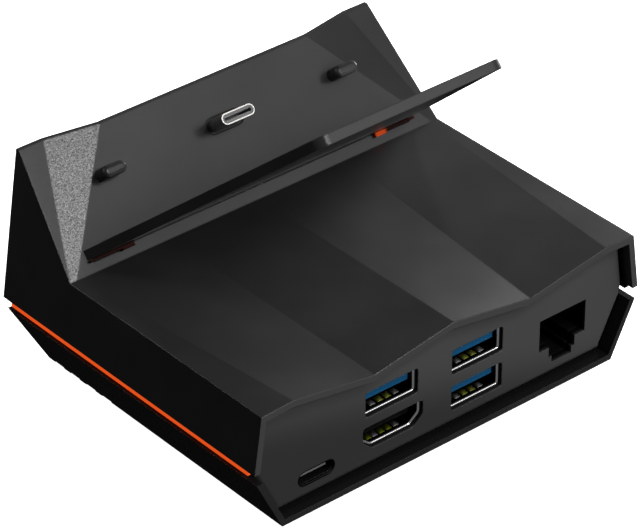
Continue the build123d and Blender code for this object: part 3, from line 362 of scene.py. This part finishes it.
PLASTICS = {
    # name: dark tone, light tone, roughness, grain scale, grain depth, worn edge, specular level
    "shell_plastic": (grey(0.027), grey(0.033), (0.20, 0.27), 2600.0, 1.2e-5, 4e-4, 0.5),
    "lower_plastic": (grey(0.027), grey(0.033), (0.24, 0.32), 2600.0, 6e-6, 2e-4, 0.15),
    "panel_plastic": (grey(0.071), grey(0.075), (0.50, 0.58), 3600.0, 5e-6, 1.5e-4, 0.5),
    "accent_plastic": (*ORANGE, (0.30, 0.36), 2500.0, 2e-6, 1e-4, 0.5),
    "strip_plastic": (*ORANGE, (0.30, 0.36), 2500.0, 2e-6, 1e-4, 0.5),
    "clip_painted_shade": (CLIP_PAINTED_SHADE_DARK, CLIP_PAINTED_SHADE_LIGHT, (0.50, 0.56), 2500.0, 2e-6, 1e-4, 0.05),
    "clip_end_painted_shade": (*ORANGE, (0.50, 0.56), 2500.0, 2e-6, 1e-4, 0.05),
    "foot_rubber": (grey(0.012), grey(0.02), (0.70, 0.85), 1800.0, 2e-5, 2e-4, 0.5),
    "tongue_plastic": ((0.007, 0.09, 0.21), (0.010, 0.11, 0.26), (0.30, 0.40), 3000.0, 2e-6, 6e-5, 0.5),
    "insert_plastic": (grey(0.003), grey(0.005), (0.36, 0.46), 3000.0, 4e-6, 8e-5, 0.3),
    # Near-black with little shine: the black inner parts of the sockets, and painted shade on the sheets in the
    # cut-outs
    "cavity_black_and_painted_shade": (grey(0.002), grey(0.003), (0.45, 0.55), 3000.0, 4e-6, 8e-5, 0.12),
    "tongue_grey": (grey(0.20), grey(0.24), (0.40, 0.50), 3000.0, 3e-6, 8e-5, 0.5),
    "board_lacquer": ((0.006, 0.055, 0.022), (0.010, 0.075, 0.03), (0.25, 0.40), 900.0, 6e-6, 5e-5, 0.5),
    "chip_mould": (grey(0.012), grey(0.018), (0.50, 0.65), 4000.0, 6e-6, 6e-5, 0.5),
    "socket_plastic": ((0.55, 0.50, 0.40), (0.62, 0.57, 0.46), (0.40, 0.50), 2500.0, 3e-6, 8e-5, 0.5),
    "cable_film": ((0.70, 0.70, 0.67), (0.78, 0.78, 0.75), (0.25, 0.35), 1500.0, 2e-6, 5e-5, 0.5),
}
METALS = {
    # name: dark tone, light tone, roughness, grain scale, grain depth, worn edge
    "nickel_plate": (*NICKEL, (0.22, 0.34), 4000.0, 1e-6, 8e-5),
    "socket_plate": (*NICKEL, (0.22, 0.34), 4000.0, 1e-6, 8e-5),
    "polished_lip_painted_glint": ((0.80, 0.79, 0.77), (0.88, 0.87, 0.85), (0.14, 0.20), 4000.0, 1e-6, 0.0),
    "gold_contact": ((0.75, 0.52, 0.16), (0.85, 0.62, 0.22), (0.22, 0.32), 4000.0, 1e-6, 3e-5),
    # Steel and gold darkened for the spots: painted shade deep in the sockets; the last two darker still,
    # painted shade deeper in the HDMI socket
    "spring_plate": ((0.09, 0.09, 0.087), (0.12, 0.12, 0.115), (0.50, 0.60), 4000.0, 1e-6, 0.0),
    "contact_plate": ((0.10, 0.105, 0.018), (0.13, 0.135, 0.025), (0.55, 0.65), 4000.0, 1e-6, 0.0),
    "dull_spring": (grey(0.07), grey(0.09), (0.50, 0.60), 4000.0, 1e-6, 0.0),
    "dull_contact": ((0.05, 0.06, 0.004), (0.065, 0.075, 0.006), (0.55, 0.65), 4000.0, 1e-6, 0.0),
    "plug_pins": (grey(0.36), grey(0.44), (0.40, 0.50), 4000.0, 1e-6, 3e-5),
    "screw_zinc": ((0.40, 0.40, 0.42), (0.50, 0.50, 0.51), (0.28, 0.42), 4000.0, 2e-6, 8e-5),
}
looks = {name: surface(name, *row) for name, row in PLASTICS.items()}
looks.update({name: surface(name, *row, metal=1.0) for name, row in METALS.items()})

# Painted light and shade: tones that follow the place or the facing of a surface
mouth_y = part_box("hdmi_shell")[1].y
panel_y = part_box("rear_panel")[1].y
strip_end_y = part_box("side_strip_right")[1].y
clip_head_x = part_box("backrest_clip_right")[1].x
sparkle(looks["shell_plastic"])
# Painted light: faces of the shell that look to the rear take the lighter rim tone
fade_to(looks["shell_plastic"], REARWARD, RIM_FACING, RIM_FACING_END, RIM_PAINTED_LIGHT, facing=True)
# Painted shade: faces of the lower shell that look up turn nearly black, as in the shadow of the rim
fade_to(looks["lower_plastic"], UPWARD, LEDGE_FACING, LEDGE_FACING_END, LEDGE_PAINTED_SHADE, facing=True)
# Painted shade: the panel darkens towards its lower left corner
fade_to(looks["panel_plastic"], PANEL_WAY, PANEL_FADE_START, PANEL_FADE_END, PANEL_PAINTED_SHADE)
# Painted shade: the right strip darkens at its rear end, as in the shadow of the shell
fade_to(
    looks["accent_plastic"], REARWARD, strip_end_y - STRIP_FADE_START, strip_end_y - STRIP_FADE_END, STRIP_PAINTED_SHADE
)
# Painted shade: the right clip darkens away from its orange inner head
fade_to(looks["clip_end_painted_shade"], LEFTWARD, clip_head_x - CLIP_FADE_START, clip_head_x - CLIP_FADE_END, CLIP_PAINTED_SHADE_DARK)
# Painted shade: the socket metal darkens behind the mouths
fade_to(looks["socket_plate"], REARWARD, mouth_y - SOCKET_FADE, mouth_y, SOCKET_PAINTED_SHADE)
# Painted light: the left strip glows though it is no lamp
glow(looks["strip_plastic"], STRIP_PAINTED_GLOW, STRIP_PAINTED_GLOW_STRENGTH)
# Painted highlight: the rolled lips of the sockets glow a little
glow(looks["polished_lip_painted_glint"], WHITE, LIP_PAINTED_GLINT_STRENGTH)

# Look of each slot in the record, and of the nodes that differ from their slot
SLOT_LOOKS = {
    "shell": "shell_plastic",
    "panel": "panel_plastic",
    "accent": "accent_plastic",
    "foot_rubber": "foot_rubber",
    "port_metal": "socket_plate",
    "contact": "gold_contact",
    "usb_tongue": "tongue_plastic",
    "insert": "insert_plastic",
    "board": "board_lacquer",
    "chip": "chip_mould",
    "cable_socket": "socket_plastic",
    "cable": "cable_film",
    "screw": "screw_zinc",
}
NODE_LOOKS = {
    "side_strip_left": "strip_plastic",
    "backrest_clip_left": "clip_painted_shade",
    "backrest_clip_right": "clip_end_painted_shade",
    "hdmi_tongue": "cavity_black_and_painted_shade",
    "lower_shell": "lower_plastic",
    "network_jack": "cavity_black_and_painted_shade",
    "plug_contacts": "plug_pins",
    "plug_core": "tongue_grey",
    "plug_shell": "nickel_plate",
    # The metal shell of the USB-C socket takes the near-black insert look: painted shade inside the opening
    "usb_c_socket_shell": "insert_plastic",
    "usb_c_socket_tongue": "tongue_grey",
}
for subpart in frame["record"]["subparts"]:
    node_look = NODE_LOOKS.get(subpart["node"], SLOT_LOOKS[subpart["material_slot"]])
    node_mesh = nodes[subpart["node"]].data
    node_mesh.materials.clear()
    node_mesh.materials.append(looks[node_look])


def smooth_mesh(name, points, faces):
    """A smooth mesh as an object of the scene."""
    mesh = bpy.data.meshes.new(name)
    mesh.from_pydata([tuple(point) for point in points], [], faces)
    mesh.polygons.foreach_set("use_smooth", [True] * len(mesh.polygons))
    thing = bpy.data.objects.new(name, mesh)
    scene.collection.objects.link(thing)
    return thing


def piece(name, points, faces, look):
    """A mesh piece that goes with the dock and takes the given look."""
    thing = smooth_mesh(name, points, faces)
    thing.data.materials.append(looks[look])
    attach(thing, "root")


def mouth_corners(node, grow):
    """Corners (x, z) of a socket's outline seen from the rear, grown by a distance, counted round."""
    low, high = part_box(node)
    left, right, bottom, top = low.x - grow, high.x + grow, low.z - grow, high.z + grow
    if node != "hdmi_shell":
        return [(left, bottom), (right, bottom), (right, top), (left, top)]
    shoulder = low.z + HDMI_SHOULDER - grow / 2
    return [
        (left + HDMI_FOOT_INSET, bottom), (right - HDMI_FOOT_INSET, bottom), (right, shoulder),
        (right, top), (left, top), (left, shoulder),
    ]


def rounded(corners, radius):
    """Outline with each corner turned into a short curve."""
    outline = []
    for number, corner in enumerate(corners):
        here = Vector(corner)
        before = Vector(corners[number - 1])
        after = Vector(corners[(number + 1) % len(corners)])
        start = here + (before - here).normalized() * radius
        end = here + (after - here).normalized() * radius
        for step in range(ARC_STEPS + 1):
            share = step / ARC_STEPS
            outline.append(start * (1 - share) ** 2 + here * 2 * share * (1 - share) + end * share**2)
    return outline


def oblong(place, width, height):
    """Outline with two round ends, counted round."""
    radius = height / 2
    outline = []
    for end, first in ((1, -pi / 2), (-1, pi / 2)):
        for step in range(OBLONG_STEPS + 1):
            turn = first + step / OBLONG_STEPS * pi
            across = place[0] + end * (width / 2 - radius) + radius * cos(turn)
            outline.append(Vector((across, place[1] + radius * sin(turn))))
    return outline


def ring_faces(rings, count):
    """Quads between rings of points, the last ring joined to the first."""
    faces = []
    for ring in range(rings):
        here, other = ring * count, (ring + 1) % rings * count
        for number in range(count):
            after = (number + 1) % count
            faces.append((here + number, here + after, other + after, other + number))
    return faces


def lip(node):
    """Rolled edge round the mouth of a metal socket."""
    outline = rounded(mouth_corners(node, -MOUTH_WALL / 2), MOUTH_ROUND)
    points = []
    for number, here in enumerate(outline):
        along = outline[(number + 1) % len(outline)] - outline[number - 1]
        out = Vector((along.y, -along.x)).normalized()
        for side in range(TUBE_SIDES):
            turn = side / TUBE_SIDES * 2 * pi
            across = here + out * MOUTH_LIP * cos(turn)
            points.append((across.x, mouth_y + MOUTH_LIP * sin(turn), across.y))
    faces = ring_faces(len(outline), TUBE_SIDES)
    piece(node.replace("shell", "lip"), points, faces, "polished_lip_painted_glint")


def edge_ring(name, outer, inner, back_y, front_y, look):
    """Flat ring between two outlines of the rear panel."""
    rings = [(outer, back_y), (outer, front_y), (inner, front_y), (inner, back_y)]
    points = [(spot.x, y, spot.y) for outline, y in rings for spot in outline]
    piece(name, points, ring_faces(len(rings), len(outer)), look)


def shade_liner(node):
    """Edge of the panel's cut-out round a socket: corners rounded in the panel's face, and dark walls behind, a
    sheet of painted shade.
    """
    outer = rounded(mouth_corners(node, CUTOUT_GAP), CUTOUT_CORNER)
    inner = rounded(mouth_corners(node, CUTOUT_GAP - SHADE_LINER_THICK), CORNER_ROUND)
    front_y = panel_y - BEZEL_SETBACK
    join_y = front_y - BEZEL_THICK
    back_y = mouth_y - SHADE_LINER_BACK
    edge_ring(node.replace("shell", "bezel"), outer, inner, join_y, front_y, "panel_plastic")
    edge_ring(node.replace("shell", "shade_liner"), outer, inner, back_y, join_y, "cavity_black_and_painted_shade")


def jack_corners(grow):
    """Corners (x, z) of the network socket's stepped outline, grown by a distance, counted round."""
    half = []
    for number, (x, z) in enumerate(JACK_HALF):
        half.append((x + grow, z + grow if number == 0 else z - grow))
    return [(JACK_X - x, z) for x, z in half] + [(JACK_X + x, z) for x, z in reversed(half)]


def jack_shade_edge():
    """Dark walls of the panel's cut-out round the network socket, a sheet of painted shade."""
    outer = rounded(jack_corners(JACK_GAP), JACK_CORNER)
    inner = rounded(jack_corners(JACK_GAP - SHADE_LINER_THICK), JACK_CORNER)
    back_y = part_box("network_jack")[1].y
    edge_ring("network_shade_edge", outer, inner, back_y, panel_y - BEZEL_SETBACK, "cavity_black_and_painted_shade")


def usb_c_edge():
    """Dark edge round the small oblong opening."""
    inner = oblong(USB_C_PLACE, *USB_C_MOUTH)
    wide = USB_C_MOUTH[0] + 2 * USB_C_GROW[0]
    high = USB_C_MOUTH[1] + 2 * USB_C_GROW[1]
    outer = oblong((USB_C_PLACE[0], USB_C_PLACE[1] - USB_C_DROP), wide, high)
    edge_ring(
        "usb_c_edge", outer, inner, panel_y - USB_C_BACK, panel_y + USB_C_PROUD, "cavity_black_and_painted_shade"
    )


def contact_spot(node, offset, look, slot, number):
    """Rounded contact or spring that rises from the floor of a socket."""
    low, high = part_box(node)
    middle = Vector(((low.x + high.x) / 2 + offset, mouth_y - SPOT_DEPTH, low.z + MOUTH_WALL))
    count = SPOT_STEPS + 1
    points, faces = [], []
    for layer in (1, 0):
        for row in range(count):
            for column in range(count):
                across, along = column / SPOT_STEPS * 2 - 1, row / SPOT_STEPS * 2 - 1
                rise = SPOT_HEIGHT * cos(across * pi / 2) * cos(along * pi / 2) if layer else -MOUTH_WALL / 2
                points.append(middle + Vector((across * SPOT_HALF_WIDTH, along * SPOT_HALF_LENGTH, rise)))
    under = count * count
    for row in range(SPOT_STEPS):
        for column in range(SPOT_STEPS):
            first = row * count + column
            quad = (first, first + 1, first + count + 1, first + count)
            faces.append(quad)
            faces.append((under + quad[0], under + quad[3], under + quad[2], under + quad[1]))
    rim = (
        list(range(SPOT_STEPS))
        + [row * count + SPOT_STEPS for row in range(SPOT_STEPS)]
        + [SPOT_STEPS * count + SPOT_STEPS - column for column in range(SPOT_STEPS)]
        + [(SPOT_STEPS - row) * count for row in range(SPOT_STEPS)]
    )
    for place, here in enumerate(rim):
        after = rim[(place + 1) % len(rim)]
        faces.append((here, under + here, under + after, after))
    piece(f"{node.replace('shell', 'spot')}_{number}", points, faces, look)


# Look and slot of each kind of spot
SPOT_LOOKS = {
    "steel": ("spring_plate", "port_metal"),
    "gold": ("contact_plate", "contact"),
    "steel_painted_deeper_shade": ("dull_spring", "port_metal"),
    "gold_painted_deeper_shade": ("dull_contact", "contact"),
}
for mouth in MOUTHS:
    lip(mouth)
    shade_liner(mouth)
    spots = HDMI_SPOTS if mouth == "hdmi_shell" else USB_SPOTS
    for number, (offset, kind) in enumerate(spots):
        contact_spot(mouth, offset, *SPOT_LOOKS[kind], number + 1)
jack_shade_edge()
usb_c_edge()


def swept_floor():
    """Round floor whose rim sweeps up into a wall."""
    profile = [(FLOOR_RADIUS, 0.0)]
    for step in range(1, FLOOR_STEPS + 1):
        turn = step / FLOOR_STEPS * pi / 2
        profile.append((FLOOR_RADIUS + FLOOR_SWEEP * sin(turn), FLOOR_SWEEP * (1 - cos(turn))))
    profile.append((FLOOR_RADIUS + FLOOR_SWEEP, FLOOR_WALL))
    points = [(0.0, 0.0, 0.0)]
    for radius, height in profile:
        for side in range(FLOOR_SIDES):
            turn = side / FLOOR_SIDES * 2 * pi
            points.append((radius * cos(turn), radius * sin(turn), height))
    faces = []
    for side in range(FLOOR_SIDES):
        after = (side + 1) % FLOOR_SIDES
        faces.append((0, 1 + side, 1 + after))
        for ring in range(len(profile) - 1):
            low, high = 1 + ring * FLOOR_SIDES, 1 + (ring + 1) * FLOOR_SIDES
            faces.append((low + side, high + side, high + after, low + after))
    return smooth_mesh("floor", points, faces)


floor = swept_floor()
floor_material, floor_tree, floor_shader = new_material("floor_paper")
floor_shader.inputs["Roughness"].default_value = FLOOR_ROUGHNESS
floor_noise = noise(floor_tree, FLOOR_SCALE, FLOOR_DETAIL)
floor_tone = two_tone(floor_tree, floor_noise, FLOOR_DARK, FLOOR_LIGHT)
floor_tree.links.new(floor_tone, floor_shader.inputs["Base Color"])
glow(floor_material, WHITE, FLOOR_GLOW_STRENGTH)
floor.data.materials.append(floor_material)
floor.visible_diffuse = False
floor.visible_glossy = False

for name, azimuth, elevation, distance, size, power in LIGHTS:
    light = bpy.data.lights.new(name, "AREA")
    light.shape = "DISK"
    light.size = size
    light.energy = power
    lamp = bpy.data.objects.new(name, light)
    lamp.location = around(azimuth, elevation, distance)
    lamp.visible_camera = False
    lamp.visible_glossy = name not in MATT_LIGHTS
    aim(lamp, LIGHT_AIM)
    scene.collection.objects.link(lamp)

world = bpy.data.worlds.new("studio")
world.use_nodes = True
background = world.node_tree.nodes["Background"]
background.inputs["Strength"].default_value = WORLD_STRENGTH
background.inputs["Color"].default_value = (*WHITE, 1.0)
scene.world = world
scene.view_settings.view_transform = "Standard"

camera_data = bpy.data.cameras.new("camera")
camera_data.lens = CAMERA_LENS
camera_data.sensor_width = CAMERA_SENSOR
camera_data.sensor_fit = "HORIZONTAL"
camera_data.clip_start = CAMERA_NEAR
camera = bpy.data.objects.new("camera", camera_data)
camera.location = CAMERA_PLACE
aim(camera, Vector(CAMERA_PLACE) + Vector(CAMERA_LOOK))
scene.collection.objects.link(camera)
scene.camera = camera
